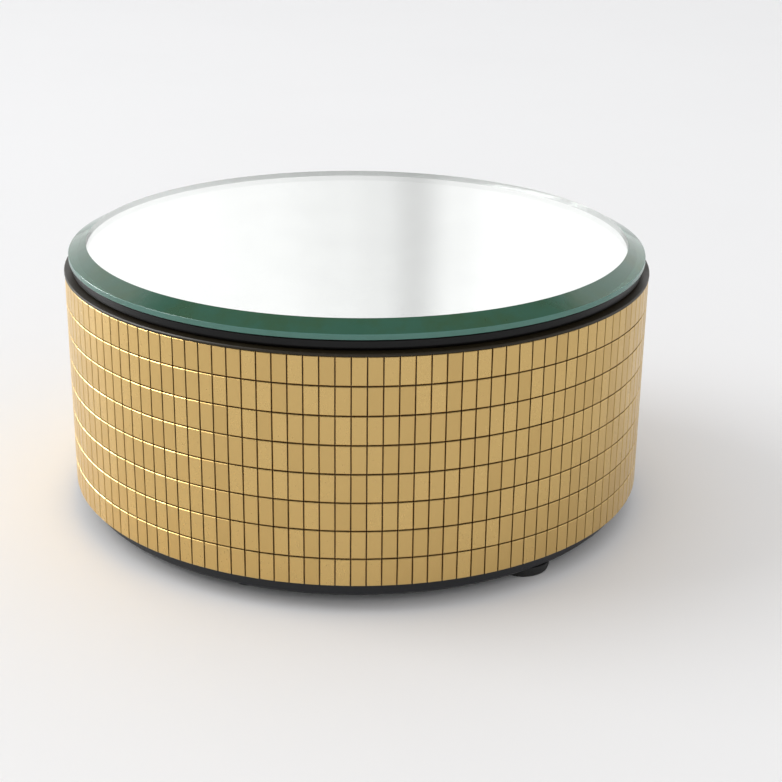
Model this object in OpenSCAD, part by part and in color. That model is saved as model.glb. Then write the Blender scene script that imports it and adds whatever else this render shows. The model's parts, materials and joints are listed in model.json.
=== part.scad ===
// Motorised display turntable: a round drum clad in gold mosaic tiles, under a bevelled mirror that turns.
// The origin is on the turning axis, on the surface that the feet stand on. +Y points to the rear panel.

/* [Drum] */
// Radius over the faces of the mosaic tiles
drum_r = 101.5; // [85:0.5:125]
// Thickness of the moulded drum wall
wall_t = 2.5; // [1.6:0.1:4]
// Thickness of the top deck
deck_t = 2.5; // [2:0.1:4]
// Depth of the deck's face below the top of the wall
deck_drop = 2.5; // [1.5:0.1:4]
// Height of the trim ring on top of the wall
trim_h = 0.8; // [0.5:0.1:1.5]
// How far the trim ring stands out over the tile faces
trim_over = 0.2; // [0:0.1:0.6]

/* [Mosaic] */
// Tiles around the drum
tile_cols = 132; // [112:4:140]
// Height of one row with its joint
row_pitch = 9.5; // [7.5:0.1:12]
// Width of the joint between tiles
joint_w = 0.4; // [0.2:0.05:0.8]
// Thickness of a tile
tile_t = 1; // [0.6:0.1:2]
// Thickness of the mesh that the tiles are glued to
backing_t = 0.4; // [0.2:0.1:1]

/* [Base] */
// Height of the rubber feet
foot_h = 3.7; // [3:0.1:6]
// Radius of a foot where it meets the base
foot_r = 9.6; // [7:0.1:11]
// Height of the base's visible edge
base_edge_h = 5.3; // [4.5:0.1:8]
// Thickness of the base's floor
base_floor_t = 2.5; // [2:0.1:3.5]
// How far the base's edge is set in from the tile faces
base_set_in = 3.1; // [1.5:0.1:4]

/* [Mirror] */
// How far the edge of the glass is set in from the tile faces
glass_set_in = 1.5; // [0:0.1:4]
// Thickness of the glass
glass_t = 4.9; // [3:0.1:8]
// Width of the polished bevel
bevel_w = 6.1; // [3:0.1:12]
// Height of the upright edge under the bevel
glass_edge_h = 1.8; // [1.2:0.1:2.4]

/* [Platter] */
// Gap between the top of the trim ring and the platter's edge
platter_gap = 0.3; // [0.2:0.1:2]
// How far the platter's edge is set in from the edge of the glass
platter_set_in = 0.8; // [0.3:0.1:2]
// Height of the platter's rounded edge
platter_edge_h = 3.2; // [2.4:0.1:4]
// Thickness of the steel track under the platter
track_t = 0.8; // [0.5:0.1:1]
// Width of the track
track_w = 8; // [6:0.5:12]
// Distance from the edge of the platter to the middle of the track
track_set_in = 17.2; // [15:0.1:22]

/* [Rollers] */
// Radius of a support roller
roller_r = 8; // [7:0.1:9.6]
// Width of a support roller
roller_w = 5; // [3:0.1:6]
// Radius of a roller's pin
roller_pin_r = 1.25; // [1:0.05:1.5]

/* [Motor] */
// Radius of the motor can
motor_r = 24.5; // [24:0.1:29.4]
// Radius of the motor's output shaft
shaft_r = 3.5; // [3:0.1:4]
// Depth of the flat on the shaft
flat_depth = 0.6; // [0.3:0.1:1]
// Distance from the motor can to its fixing screws
ear_out = 5.5; // [5:0.1:9]

/* [Rear panel] */
// Thickness of the wall around the recess in the rear panel
panel_wall = 1.6; // [1.2:0.1:2.4]
// Distance of the switch and the inlet from the panel's middle
fitting_x = 12; // [11:0.5:14]
// Radius of the socket in the power inlet
socket_r = 2.75; // [2.5:0.05:3.25]
// Radius of the pin in the power inlet
inlet_pin_r = 1.05; // [0.8:0.05:1.25]

/* [Clearances] */
// Radial clearance of a turning pin or shaft
run_gap = 0.04; // [0.02:0.01:0.08]
// Gap between parts that slip together
slip_gap = 0.3; // [0.2:0.05:0.4]
// Gap between the rollers and the track
track_gap = 0.1; // [0.05:0.05:0.2]
// Tooth thinning that gives the gears their backlash
backlash = 0.05; // [0.03:0.01:0.08]

/* [Hidden] */

round_fn = 180;
small_fn = 48;
cut = 1;

// Levels, from the floor up
tile_rows = 8;
base_z = foot_h;
drum_z = base_z + base_edge_h;
wall_top = drum_z + tile_rows * row_pitch;
deck_top = wall_top - deck_drop;
deck_z = deck_top - deck_t;
trim_top = wall_top + trim_h;
silver_t = 0.1;
tape_t = 0.4;
lip_gap = 0.1;
platter_z = trim_top + platter_gap;
platter_top = platter_z + platter_edge_h;
silver_z = platter_top + lip_gap;
tape_z = silver_z - tape_t;
glass_z = silver_z + silver_t;
track_z = platter_z - track_t;

// Radii of the drum, from outside in
backing_r = drum_r - tile_t;
shell_r = backing_r - backing_t;
wall_r = shell_r - wall_t;
base_r = drum_r - base_set_in;
base_slope = 0.6;
base_foot_r = base_r - base_slope;
glass_r = drum_r - glass_set_in;
platter_r = glass_r - platter_set_in;
track_r = platter_r - track_set_in;

// Three feet and three rollers share one set of directions; the base screws lie between them
support_count = 3;
support_step = 360 / support_count;
support_angle = -52;
foot_inset = 0.1;
foot_pcd_r = base_foot_r - foot_r - foot_inset;
boss_r = 4;
boss_inset = 1.5;
boss_pcd_r = wall_r - boss_r - boss_inset;
web_t = 2.4;
boss_pilot_r = 1.3;
boss_pilot_depth = 14;
pad_r = 5.2;
lip_h = 3;
lip_t = 2.4;
screw_head_r = 2.6;
screw_head_h = 1.7;
counterbore_r = 3.2;
counterbore_depth = 2.2;
foot_seat = 1.6;
foot_boss_r = 4;
foot_pilot_floor = 1;
foot_screw_short = 1.5;
foot_head_h = 1.3;
screw_end_gap = 2;
hole_gap = 0.1;

// Window for the rear panel: an odd number of tiles wide, with a joint at each side
window_cols = 11;
window_row = 1;
window_rows = 3;
tile_step = 360 / tile_cols;
tile_w = 2 * drum_r * tan(tile_step / 2) - joint_w;
tile_h = row_pitch - joint_w;
window_half = drum_r * sin(window_cols * tile_step / 2);
panel_half_w = window_half - joint_w - slip_gap;
recess_half_w = panel_half_w - panel_wall;
window_z = drum_z + window_row * row_pitch;
window_h = window_rows * row_pitch;
panel_z = window_z + window_h / 2;
panel_t = 2;
flange_over = 3;
flange_half_w = window_half + flange_over;
flange_gap = 0.15;
panel_face_y = sqrt(pow(wall_r, 2) - pow(flange_half_w, 2)) - flange_gap;
panel_back_y = panel_face_y - panel_t;
panel_proud = 0.6;
panel_front_r = shell_r + panel_proud;
ear_back = 4.4;
ear_y = panel_back_y - ear_back;
ear_t = 2;
ear_w = 8;
ear_h = 9;
panel_screw_x = flange_half_w + ear_w / 2;
panel_boss_r = 3;
panel_pilot_r = 1;
panel_pilot_depth = 4;
panel_screw_bite = 3.5;
panel_head_r = 2;
panel_head_h = 1.4;

// Rocker switch
bezel = [10.5, 2, 15];
switch_box = [8.3, 12, 12.9];
rocker_well = [7, 8, 11.6];
rocker_w = 6.4;
rocker_pin_r = 0.9;
rocker_tilt = 10;
rocker_proud = 0.2;
rocker_y = panel_face_y + rocker_proud;
rocker_profile = [[-2.2, -4.6], [-2.2, 4.6], [2.6, 5.2], [1.5, 0], [2.6, -5.2]];
pin_wall = 0.8;
pin_end_gap = 0.2;

// Power inlet
inlet_r = 4.9;
inlet_flange_r = 6.5;
inlet_flange_t = 1.5;
inlet_depth = 12.4;
socket_depth = 9.4;
inlet_pin_seat = 2;
inlet_pin_below = 1;
inlet_nut_r = 7.4;
nut_t = 2;
terminal_t = 0.8;
terminal_w = 4.2;
terminal_l = 6;
barrel_r = 1.3;
barrel_l = 4;
terminal_dz = 3.3;
inlet_terminal_dz = 0.8 * terminal_dz;
switch_back_y = panel_face_y - switch_box[1];
inlet_back_y = panel_face_y - inlet_depth;
switch_end_y = switch_back_y - terminal_l - barrel_l;
inlet_end_y = inlet_back_y - terminal_l - barrel_l;

// Rollers
roller_z = track_z - track_gap - roller_r;
cheek_t = 2.5;
cheek_half = 5;
roller_side_gap = 0.5;
bracket_gap = roller_w / 2 + roller_side_gap;
bracket_out = bracket_gap + cheek_t;
flange_t = 2;
bracket_pad_h = 1.7;
bracket_pad_r = 3;
bracket_pilot_r = 1.1;
bracket_pilot_floor = 0.6;
bracket_screw_short = 1.2;
bracket_head_r = 2.2;
bracket_head_h = 1.5;
slot_gap = 0.6;
slot_half = roller_r + slot_gap;
slot_half_w = bracket_out + 2 * slip_gap;
pad_gap = 0.9;
bracket_screw_y = slot_half + bracket_pad_r + pad_gap;
bracket_end = 3.5;
bracket_half = bracket_screw_y + bracket_end;
pin_cover = 3.5;
pin_over = 0.3;

// Motor levels, from its top face down
motor_top = deck_z;
cover_t = 1;
gear_gap = 0.3;
layer_3 = 2;
layer_2 = 1.6;
layer_1 = 1.6;
gear_plate_t = 0.8;
coil_h = 9;
can_t = 0.8;
cover_z = motor_top - cover_t;
layer_3_z = cover_z - gear_gap - layer_3;
layer_2_z = layer_3_z - gear_gap - layer_2;
layer_1_z = layer_2_z - gear_gap - layer_1;
gear_plate_z = layer_1_z - gear_gap - gear_plate_t;
coil_z = gear_plate_z - coil_h;
motor_z = coil_z - can_t;
can_r = motor_r - can_t;
ear_reach = motor_r + ear_out;
motor_ear_r = 5;

// Gear train: rotor, cluster 1, cluster 2, output; each pinion has the same teeth
pinion_n = 12;
wheel_n = 60;
output_n = 48;
fine_m = 0.3;
coarse_m = 0.4;
pressure_angle = 20;
pinion_add = 1;
wheel_add = 0.7;
dedendum = 1.25;
flank_steps = 3;
fine_dist = fine_m * (pinion_n + wheel_n) / 2;
coarse_dist = coarse_m * (pinion_n + output_n) / 2;
mesh_1 = 0;
mesh_2 = 120;
mesh_3 = 200;
function polar(r, a) = r * [cos(a), sin(a)];
rotor_at = -(polar(fine_dist, mesh_1) + polar(fine_dist, mesh_2) + polar(coarse_dist, mesh_3));
cluster_1_at = rotor_at + polar(fine_dist, mesh_1);
cluster_2_at = cluster_1_at + polar(fine_dist, mesh_2);
axle_r = 0.6;
journal_r = 1.5;
magnet_r = 10.2;
rotor_core_r = 3.6;
rotor_sleeve_r = 2.2;
claw_r = 10.8;
claw_t = 0.6;
claw_count = 6;
claw_deg = 22;
pole_plate_t = 0.5;
claw_short = 2;
bobbin_r = 11.6;
bobbin_t = 0.8;
bobbin_gap = 0.5;
bobbin_out_r = can_r - bobbin_gap;
bobbin_rim = 0.9;
winding_r = bobbin_out_r - bobbin_rim;
bobbin_end_gap = 0.1;
bobbin_low = coil_z + pole_plate_t + bobbin_end_gap;
bobbin_high = gear_plate_z - pole_plate_t - bobbin_end_gap;
axle_seat = 0.5;
sleeve_gap = 0.4;
shaft_below = 1.1;
shaft_top = platter_top - shaft_below;
flat_above = 1;
flat_z = motor_top + flat_above;
hub_above_flat = 0.4;
bushing_r = 5;
bushing_over = 0.6;
hub_r = 6;
hub_flange_r = 16;
hub_flange_t = 1.7;
hub_screw_r = 11;
hub_spigot_h = 1.7;
hub_clear = 2;
hub_screw_count = 3;
hub_pilot_r = 1.25;
hub_hole_r = 1.5;
hub_head_r = 2.3;
hub_head_h = 1.3;
rib_t = 1.5;
rib_h = 1.5;
rib_root = 0.5;
rib_start = 1;
rib_rings = [40, 68];
rib_count = 8;
m3_r = 1.5;
m3_head_r = 2.75;
m3_nut_r = 3.1;
m3_nut_t = 2.4;
m3_over = 0.6;
lead_r = 0.9;
lead_dx = 1.6;
lead_z = coil_z + coil_h / 2;
boot = [8, 3.5, 5];
boot_y = rotor_at[1] + motor_r + boot[1];
lead_stub = [0, 5, 0];
lead_sides = 8;
lead_steps = 5;

module ring(outer, inner, h) {
    difference() {
        cylinder(r = outer, h = h, $fn = round_fn);
        translate([0, 0, -cut]) cylinder(r = inner, h = h + 2 * cut, $fn = round_fn);
    }
}

module at_supports(r, turn = 0) {
    rotate(support_angle + turn) for (i = [0 : support_count - 1]) {
        rotate(i * support_step) translate([r, 0, 0]) children();
    }
}

module rod(r, h) {
    cylinder(r = r, h = h, $fn = small_fn);
}

// A rod along +Y
module rod_y(r, h) {
    rotate([-90, 0, 0]) cylinder(r = r, h = h, $fn = small_fn);
}

// A rod along +X, centred
module rod_x(r, h) {
    rotate([0, 90, 0]) cylinder(r = r, h = h, center = true, $fn = small_fn);
}

// A screw boss, tied to the drum wall by a web and grown all round by a gap
module boss(grow, h) {
    translate([boss_pcd_r, 0, 0]) rod(boss_r + grow, h);
    translate([boss_pcd_r, -web_t / 2 - grow, 0])
        cube([wall_r + wall_t / 2 - boss_pcd_r, web_t + 2 * grow, h]);
}

// ---- Drum ----

module rear_window(half_w, z, h) {
    translate([-half_w, 0, z]) cube([2 * half_w, drum_r + cut, h]);
}

module drum_shell() {
    color([0.08, 0.08, 0.09]) difference() {
        union() {
            rotate_extrude($fn = round_fn)
                polygon([[0, deck_z], [wall_r, deck_z], [wall_r, drum_z], [shell_r, drum_z],
                    [shell_r, wall_top], [wall_r, wall_top], [wall_r, deck_top], [0, deck_top]]);
            at_supports(0, support_step / 2)
                translate([0, 0, drum_z + slip_gap]) boss(0, deck_z - drum_z - slip_gap + cut);
            for (side = [-1, 1]) {
                intersection() {
                    translate([side * panel_screw_x, ear_y + ear_t, panel_z]) rod_y(panel_boss_r, drum_r);
                    cylinder(r = wall_r + cut, h = wall_top, $fn = round_fn);
                }
            }
            at_supports(track_r) for (side = [-1, 1]) {
                translate([0, side * bracket_screw_y, deck_top - cut])
                    rod(bracket_pad_r, bracket_pad_h + cut);
            }
        }
        at_supports(boss_pcd_r, support_step / 2)
            translate([0, 0, drum_z - cut]) rod(boss_pilot_r, boss_pilot_depth + cut);
        for (side = [-1, 1]) {
            translate([side * panel_screw_x, 0, panel_z])
                rod_y(panel_pilot_r, ear_y + ear_t + panel_pilot_depth);
        }
        rear_window(window_half - joint_w, window_z, window_h);
        translate([0, 0, deck_z - cut]) rod(hub_r + hub_clear, deck_t + 2 * cut);
        at_supports(track_r) {
            translate([-slot_half_w, -slot_half, deck_z - cut])
                cube([2 * slot_half_w, 2 * slot_half, deck_t + 2 * cut]);
            for (side = [-1, 1]) {
                translate([0, side * bracket_screw_y, deck_z - cut])
                    rod(bracket_pilot_r, deck_t + bracket_pad_h + cut - bracket_pilot_floor);
            }
        }
        at_ears() translate([0, 0, deck_z - cut]) rod(m3_r + hole_gap, deck_t + 2 * cut);
    }
}

module trim_ring() {
    inner = wall_r + slip_gap;
    outer = drum_r + trim_over;
    chamfer = trim_h / 3;
    color([0.2, 0.17, 0.12]) translate([0, 0, wall_top]) rotate_extrude($fn = round_fn)
        polygon([[inner, 0], [outer, 0], [outer, trim_h - chamfer],
            [outer - chamfer, trim_h], [inner, trim_h]]);
}

module mosaic_backing() {
    color([0.3, 0.19, 0.08]) difference() {
        translate([0, 0, drum_z]) ring(backing_r, shell_r, wall_top - drum_z);
        rear_window(window_half - joint_w, window_z, window_h);
    }
}

// Tiles of one row. Tile 0 faces the front, and the window leaves out the tiles around the rear.
module mosaic_row(row) {
    half = floor(window_cols / 2);
    rear = tile_cols / 2;
    in_window = row > window_row && row <= window_row + window_rows;
    color([0.83, 0.68, 0.42]) for (i = [0 : tile_cols - 1]) {
        if (!in_window || abs(i - rear) > half) {
            rotate(i * tile_step)
                translate([-tile_w / 2, -drum_r, drum_z + (row - 1) * row_pitch + joint_w / 2])
                    cube([tile_w, tile_t, tile_h]);
        }
    }
}

// ---- Base ----

module base_plate() {
    chamfer = 0.9;
    rim_t = 3.6;
    color([0.13, 0.13, 0.14]) difference() {
        union() {
            translate([0, 0, base_z]) rotate_extrude($fn = round_fn)
                polygon([[0, 0], [base_foot_r - chamfer, 0], [base_foot_r, chamfer], [base_r, base_edge_h],
                    [base_r - rim_t, base_edge_h], [base_r - rim_t, base_floor_t], [0, base_floor_t]]);
            at_supports(boss_pcd_r, support_step / 2) translate([0, 0, base_z]) rod(pad_r, base_edge_h);
            at_supports(foot_pcd_r) translate([0, 0, base_z]) rod(foot_boss_r, base_edge_h - slip_gap);
            difference() {
                translate([0, 0, base_z + cut])
                    ring(wall_r - slip_gap, wall_r - slip_gap - lip_t, base_edge_h + lip_h - cut);
                at_supports(0, support_step / 2) translate([0, 0, drum_z]) boss(2 * slip_gap, lip_h + cut);
            }
        }
        at_supports(boss_pcd_r, support_step / 2) {
            translate([0, 0, base_z - cut]) rod(boss_pilot_r + slip_gap, base_edge_h + 2 * cut);
            translate([0, 0, base_z - cut]) rod(counterbore_r, counterbore_depth + cut);
        }
        at_supports(foot_pcd_r)
            translate([0, 0, base_z - cut]) rod(boss_pilot_r, base_edge_h + cut - foot_pilot_floor);
    }
}

// A pan-head screw with its head down: the head's bearing face is at z = 0 and the shank points up
module screw(shank_r, shank_l, head_r, head_h) {
    slot_w = 0.7;
    slot_half = head_r * 0.6;
    difference() {
        union() {
            rod(shank_r, shank_l);
            translate([0, 0, -head_h]) rod(head_r, head_h);
        }
        for (turn = [0, 90]) {
            rotate(turn) translate([-slot_half, -slot_w / 2, -head_h - cut])
                cube([2 * slot_half, slot_w, cut + head_h / 2]);
        }
    }
}

module base_screws() {
    color([0.7, 0.7, 0.72]) at_supports(boss_pcd_r, support_step / 2)
        translate([0, 0, base_z + counterbore_depth])
            screw(boss_pilot_r, drum_z - base_z - counterbore_depth + boss_pilot_depth - screw_end_gap,
                screw_head_r, screw_head_h);
}

module rubber_feet() {
    taper = 0.8;
    round_off = 0.5;
    color([0.04, 0.04, 0.04]) at_supports(foot_pcd_r) rotate_extrude($fn = small_fn * 2)
        polygon([[screw_head_r + slip_gap, 0], [foot_r - taper - round_off, 0], [foot_r - taper, round_off],
            [foot_r, foot_h], [boss_pilot_r + hole_gap, foot_h], [boss_pilot_r + hole_gap, foot_seat],
            [screw_head_r + slip_gap, foot_seat]]);
}

module foot_screws() {
    color([0.7, 0.7, 0.72]) at_supports(foot_pcd_r) translate([0, 0, foot_seat])
        screw(boss_pilot_r, foot_h - foot_seat + base_edge_h - foot_screw_short, screw_head_r, foot_head_h);
}

// ---- Rear panel, switch and power inlet ----

module rear_panel() {
    outer_h = window_h - 2 * slip_gap;
    flange_h = window_h + 2 * flange_over;
    color([0.1, 0.1, 0.11]) difference() {
        union() {
            translate([-flange_half_w, panel_back_y, panel_z - flange_h / 2])
                cube([2 * flange_half_w, panel_t, flange_h]);
            intersection() {
                difference() {
                    translate([-panel_half_w, panel_back_y, panel_z - outer_h / 2])
                        cube([2 * panel_half_w, drum_r, outer_h]);
                    translate([-recess_half_w, panel_face_y, panel_z - outer_h / 2 + panel_wall])
                        cube([2 * recess_half_w, drum_r, outer_h - 2 * panel_wall]);
                }
                cylinder(r = panel_front_r, h = wall_top, $fn = round_fn);
            }
            for (side = [-1, 1]) {
                mirror([side < 0 ? 1 : 0, 0, 0]) translate([flange_half_w - ear_t, 0, panel_z - ear_h / 2]) {
                    translate([0, ear_y, 0]) cube([ear_t + ear_w, ear_t, ear_h]);
                    translate([0, ear_y, 0]) cube([ear_t, panel_face_y - ear_y, ear_h]);
                }
            }
        }
        for (side = [-1, 1]) {
            translate([side * panel_screw_x, ear_y - cut, panel_z])
                rod_y(panel_pilot_r + slip_gap, ear_t + 2 * cut);
        }
        translate([fitting_x - switch_box[0] / 2 - hole_gap, 0, panel_z - switch_box[2] / 2 - hole_gap])
            cube([switch_box[0] + 2 * hole_gap, drum_r, switch_box[2] + 2 * hole_gap]);
        translate([-fitting_x, 0, panel_z]) rod_y(inlet_r + hole_gap, drum_r);
    }
}

module rear_panel_screws() {
    color([0.7, 0.7, 0.72]) for (side = [-1, 1]) {
        translate([side * panel_screw_x, ear_y, panel_z]) rotate([-90, 0, 0])
            screw(panel_pilot_r, ear_t + panel_screw_bite, panel_head_r, panel_head_h);
    }
}

module switch_body() {
    color([0.07, 0.07, 0.07]) translate([fitting_x, panel_face_y, panel_z]) difference() {
        union() {
            translate([-bezel[0] / 2, 0, -bezel[2] / 2]) cube(bezel);
            translate([-switch_box[0] / 2, -switch_box[1], -switch_box[2] / 2]) cube(switch_box);
        }
        translate([-rocker_well[0] / 2, bezel[1] - rocker_well[1], -rocker_well[2] / 2])
            cube(rocker_well + [0, cut, 0]);
        translate([0, rocker_y - panel_face_y, 0]) rod_x(rocker_pin_r + run_gap, bezel[0] - 2 * pin_wall);
    }
}

// The rocker rests in its off position, tilted about its pivot
module switch_rocker() {
    color([0.05, 0.05, 0.05]) translate([fitting_x, rocker_y, panel_z]) rotate([-rocker_tilt, 0, 0]) {
        rotate([90, 0, 90]) translate([0, 0, -rocker_w / 2]) linear_extrude(rocker_w)
            polygon(rocker_profile);
        rod_x(rocker_pin_r, bezel[0] - 2 * (pin_wall + pin_end_gap));
    }
}

// A flat blade along -Y with a crimped barrel on its end
module terminal() {
    translate([-terminal_t / 2, -terminal_l, -terminal_w / 2]) cube([terminal_t, terminal_l, terminal_w]);
    translate([0, -terminal_l - barrel_l, 0]) rod_y(barrel_r, barrel_l);
}

module switch_terminals() {
    color([0.8, 0.7, 0.4]) for (side = [-1, 1]) {
        translate([fitting_x, switch_back_y, panel_z + side * terminal_dz]) terminal();
    }
}

module inlet_body() {
    color([0.06, 0.06, 0.06]) translate([-fitting_x, 0, panel_z]) difference() {
        union() {
            translate([0, inlet_back_y, 0]) rod_y(inlet_r, inlet_depth);
            translate([0, panel_face_y, 0]) rod_y(inlet_flange_r, inlet_flange_t);
        }
        translate([0, panel_face_y + inlet_flange_t - socket_depth, 0]) rod_y(socket_r, socket_depth + cut);
        translate([0, inlet_back_y + inlet_pin_seat, 0]) rod_y(inlet_pin_r, inlet_depth);
    }
}

module inlet_pin() {
    color([0.85, 0.85, 0.86]) translate([-fitting_x, inlet_back_y + inlet_pin_seat, panel_z])
        rod_y(inlet_pin_r, inlet_depth + inlet_flange_t - inlet_pin_seat - inlet_pin_below);
}

module inlet_nut() {
    color([0.75, 0.75, 0.76]) translate([-fitting_x, panel_back_y - nut_t, panel_z]) rotate([-90, 0, 0])
        difference() {
            cylinder(r = inlet_nut_r, h = nut_t, $fn = 6);
            translate([0, 0, -cut]) rod(inlet_r, nut_t + 2 * cut);
        }
}

module inlet_terminals() {
    color([0.8, 0.7, 0.4]) for (side = [-1, 1]) {
        translate([-fitting_x, inlet_back_y, panel_z + side * inlet_terminal_dz]) terminal();
    }
}

// ---- Leads ----

function curve(a, b, c, d, t) = 0.5 * (2 * b + (c - a) * t + (2 * a - 5 * b + 4 * c - d) * t * t
    + (3 * b - a - 3 * c + d) * t * t * t);
function route(p, steps) = let (last = len(p) - 1) concat(
    [for (i = [0 : last - 1], j = [0 : steps - 1])
        curve(p[max(i - 1, 0)], p[i], p[i + 1], p[min(i + 2, last)], j / steps)], [p[last]]);
function unit(v) = v / norm(v);

// A round lead that follows a route. Its sides are set out from the direction across, which never
// lies along the route.
module lead(p, across) {
    line = route(p, lead_steps);
    last = len(line) - 1;
    ends = len(p) - 1;
    dirs = [for (i = [0 : last]) unit(i == 0 ? p[1] - p[0] : i == last ? p[ends] - p[ends - 1]
        : line[i + 1] - line[i - 1])];
    points = [for (i = [0 : last], k = [0 : lead_sides - 1])
        let (u = unit(cross(dirs[i], across)), v = cross(dirs[i], u), a = k * 360 / lead_sides)
            line[i] + lead_r * (u * cos(a) + v * sin(a))];
    walls = [for (i = [0 : last - 1], k = [0 : lead_sides - 1]) let (n = (k + 1) % lead_sides)
        [i * lead_sides + k, (i + 1) * lead_sides + k, (i + 1) * lead_sides + n, i * lead_sides + n]];
    start = [for (k = [0 : lead_sides - 1]) k];
    end = [for (k = [lead_sides - 1 : -1 : 0]) last * lead_sides + k];
    polyhedron(points, concat([start], walls, [end]), convexity = 10);
}

module lead_inlet_switch() {
    from = [-fitting_x, inlet_end_y, panel_z - inlet_terminal_dz];
    to = [fitting_x, switch_end_y, panel_z - terminal_dz];
    bend = [5, -11, 0];
    back = [-5, -11, 0];
    color([0.15, 0.15, 0.5])
        lead([from, from - lead_stub, from + bend, to + back, to - lead_stub, to], [0, 0, 1]);
}

module lead_switch_motor() {
    from = [fitting_x, switch_end_y, panel_z + terminal_dz];
    to = [rotor_at[0] + lead_dx, boot_y, lead_z];
    bend = [0, -14, 8];
    back = [1, 14, -6];
    color([0.6, 0.1, 0.1])
        lead([from, from - lead_stub, from + bend, to + back, to + lead_stub, to], [1, 0, 0]);
}

module lead_inlet_motor() {
    from = [-fitting_x, inlet_end_y, panel_z + inlet_terminal_dz];
    to = [rotor_at[0] - lead_dx, boot_y, lead_z];
    bend = [1, -14, 8];
    back = [-4, 14, -6];
    color([0.1, 0.1, 0.1])
        lead([from, from - lead_stub, from + bend, to + back, to + lead_stub, to], [1, 0, 0]);
}

// ---- Support rollers ----

module roller_brackets() {
    color([0.85, 0.85, 0.82]) at_supports(track_r) difference() {
        union() {
            translate([-bracket_out, -bracket_half, deck_z - flange_t])
                cube([2 * bracket_out, 2 * bracket_half, flange_t]);
            translate([-bracket_out, -cheek_half, roller_z - pin_cover])
                cube([2 * bracket_out, 2 * cheek_half, 2 * pin_cover]);
        }
        translate([-bracket_gap, -slot_half, roller_z - roller_r])
            cube([2 * bracket_gap, 2 * slot_half, 2 * roller_r]);
        translate([0, 0, roller_z]) rod_x(roller_pin_r, 3 * bracket_out);
        for (side = [-1, 1]) {
            translate([0, side * bracket_screw_y, deck_z - flange_t - cut])
                rod(bracket_pilot_r + slip_gap, flange_t + 2 * cut);
        }
    }
}

module bracket_screws() {
    color([0.7, 0.7, 0.72]) at_supports(track_r) for (side = [-1, 1]) {
        translate([0, side * bracket_screw_y, deck_z - flange_t])
            screw(bracket_pilot_r, flange_t + deck_t + bracket_pad_h - bracket_screw_short,
                bracket_head_r, bracket_head_h);
    }
}

module roller_pins() {
    color([0.75, 0.75, 0.78]) at_supports(track_r) translate([0, 0, roller_z])
        rod_x(roller_pin_r, 2 * (bracket_out + pin_over));
}

module roller(index) {
    color([0.92, 0.92, 0.88]) rotate(support_angle) rotate((index - 1) * support_step)
        translate([track_r, 0, roller_z]) difference() {
            rod_x(roller_r, roller_w);
            rod_x(roller_pin_r + run_gap, roller_w + 2 * cut);
        }
}

// ---- Motor ----

module at_rotor() {
    translate([rotor_at[0], rotor_at[1], 0]) children();
}

module at_ears() {
    for (side = [-1, 1]) {
        translate([rotor_at[0] + side * ear_reach, rotor_at[1], 0]) children();
    }
}

function inv_angle(rb, r) = let (t = sqrt(max(pow(r / rb, 2) - 1, 0))) t * 180 / PI - atan(t);

// Outline of an involute gear with a tooth centred on the X axis
function gear_outline(m, n, add) =
    let (
        pitch_r = m * n / 2,
        rb = pitch_r * cos(pressure_angle),
        root_r = pitch_r - dedendum * m,
        tip_r = pitch_r + add * m,
        start_r = max(rb, root_r),
        half = 90 / n - backlash / 2 / pitch_r * 180 / PI + inv_angle(rb, pitch_r),
        flank = [for (s = [0 : flank_steps]) let (r = start_r + (tip_r - start_r) * s / flank_steps)
            [r, half - inv_angle(rb, r)]],
        side = root_r < rb ? concat([[root_r, half]], flank) : flank,
        last = len(side) - 1)
    [for (i = [0 : n - 1], k = [0 : 2 * last + 1]) let (a = i * 360 / n,
        f = k <= last ? [side[k][0], -side[k][1]] : side[2 * last + 1 - k]) polar(f[0], a + f[1])];

module gear(m, n, add, h, phase) {
    rotate(phase) linear_extrude(h) polygon(gear_outline(m, n, add));
}

module motor_can() {
    color([0.72, 0.73, 0.74]) at_rotor() translate([0, 0, motor_z]) difference() {
        cylinder(r = motor_r, h = cover_z - motor_z, $fn = round_fn);
        translate([0, 0, can_t]) cylinder(r = can_r, h = cover_z, $fn = round_fn);
        translate([0, 0, -cut]) rod(axle_r, can_t + 2 * cut);
    }
}

module motor_cover() {
    color([0.76, 0.77, 0.78]) difference() {
        union() {
            at_rotor() translate([0, 0, cover_z]) cylinder(r = motor_r, h = cover_t, $fn = round_fn);
            at_rotor() translate([-ear_reach, -motor_ear_r, cover_z])
                cube([2 * ear_reach, 2 * motor_ear_r, cover_t]);
            at_ears() translate([0, 0, cover_z]) rod(motor_ear_r, cover_t);
        }
        translate([0, 0, cover_z - cut]) rod(bushing_r, cover_t + 2 * cut);
        at_ears() translate([0, 0, cover_z - cut]) rod(m3_r + hole_gap, cover_t + 2 * cut);
        for (at = [cluster_1_at, cluster_2_at]) {
            translate([at[0], at[1], cover_z - cut]) rod(axle_r, cut + axle_seat);
        }
    }
}

module motor_screws() {
    color([0.75, 0.75, 0.78]) at_ears() translate([0, 0, deck_top]) rotate([180, 0, 0])
        screw(m3_r, deck_t + cover_t + m3_nut_t + m3_over, m3_head_r, screw_head_h);
}

module motor_nuts() {
    color([0.75, 0.75, 0.78]) at_ears() translate([0, 0, cover_z - m3_nut_t]) difference() {
        cylinder(r = m3_nut_r, h = m3_nut_t, $fn = 6);
        translate([0, 0, -cut]) rod(m3_r, m3_nut_t + 2 * cut);
    }
}

module motor_lead_boot() {
    color([0.9, 0.9, 0.88]) difference() {
        translate([rotor_at[0] - boot[0] / 2, boot_y - boot[1] - cut, lead_z - boot[2] / 2])
            cube(boot + [0, cut, 0]);
        at_rotor() cylinder(r = motor_r, h = deck_z, $fn = round_fn);
    }
}

module shaft_bushing() {
    color([0.72, 0.5, 0.25]) translate([0, 0, cover_z])
        ring(bushing_r, shaft_r + run_gap, cover_t + bushing_over);
}

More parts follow.
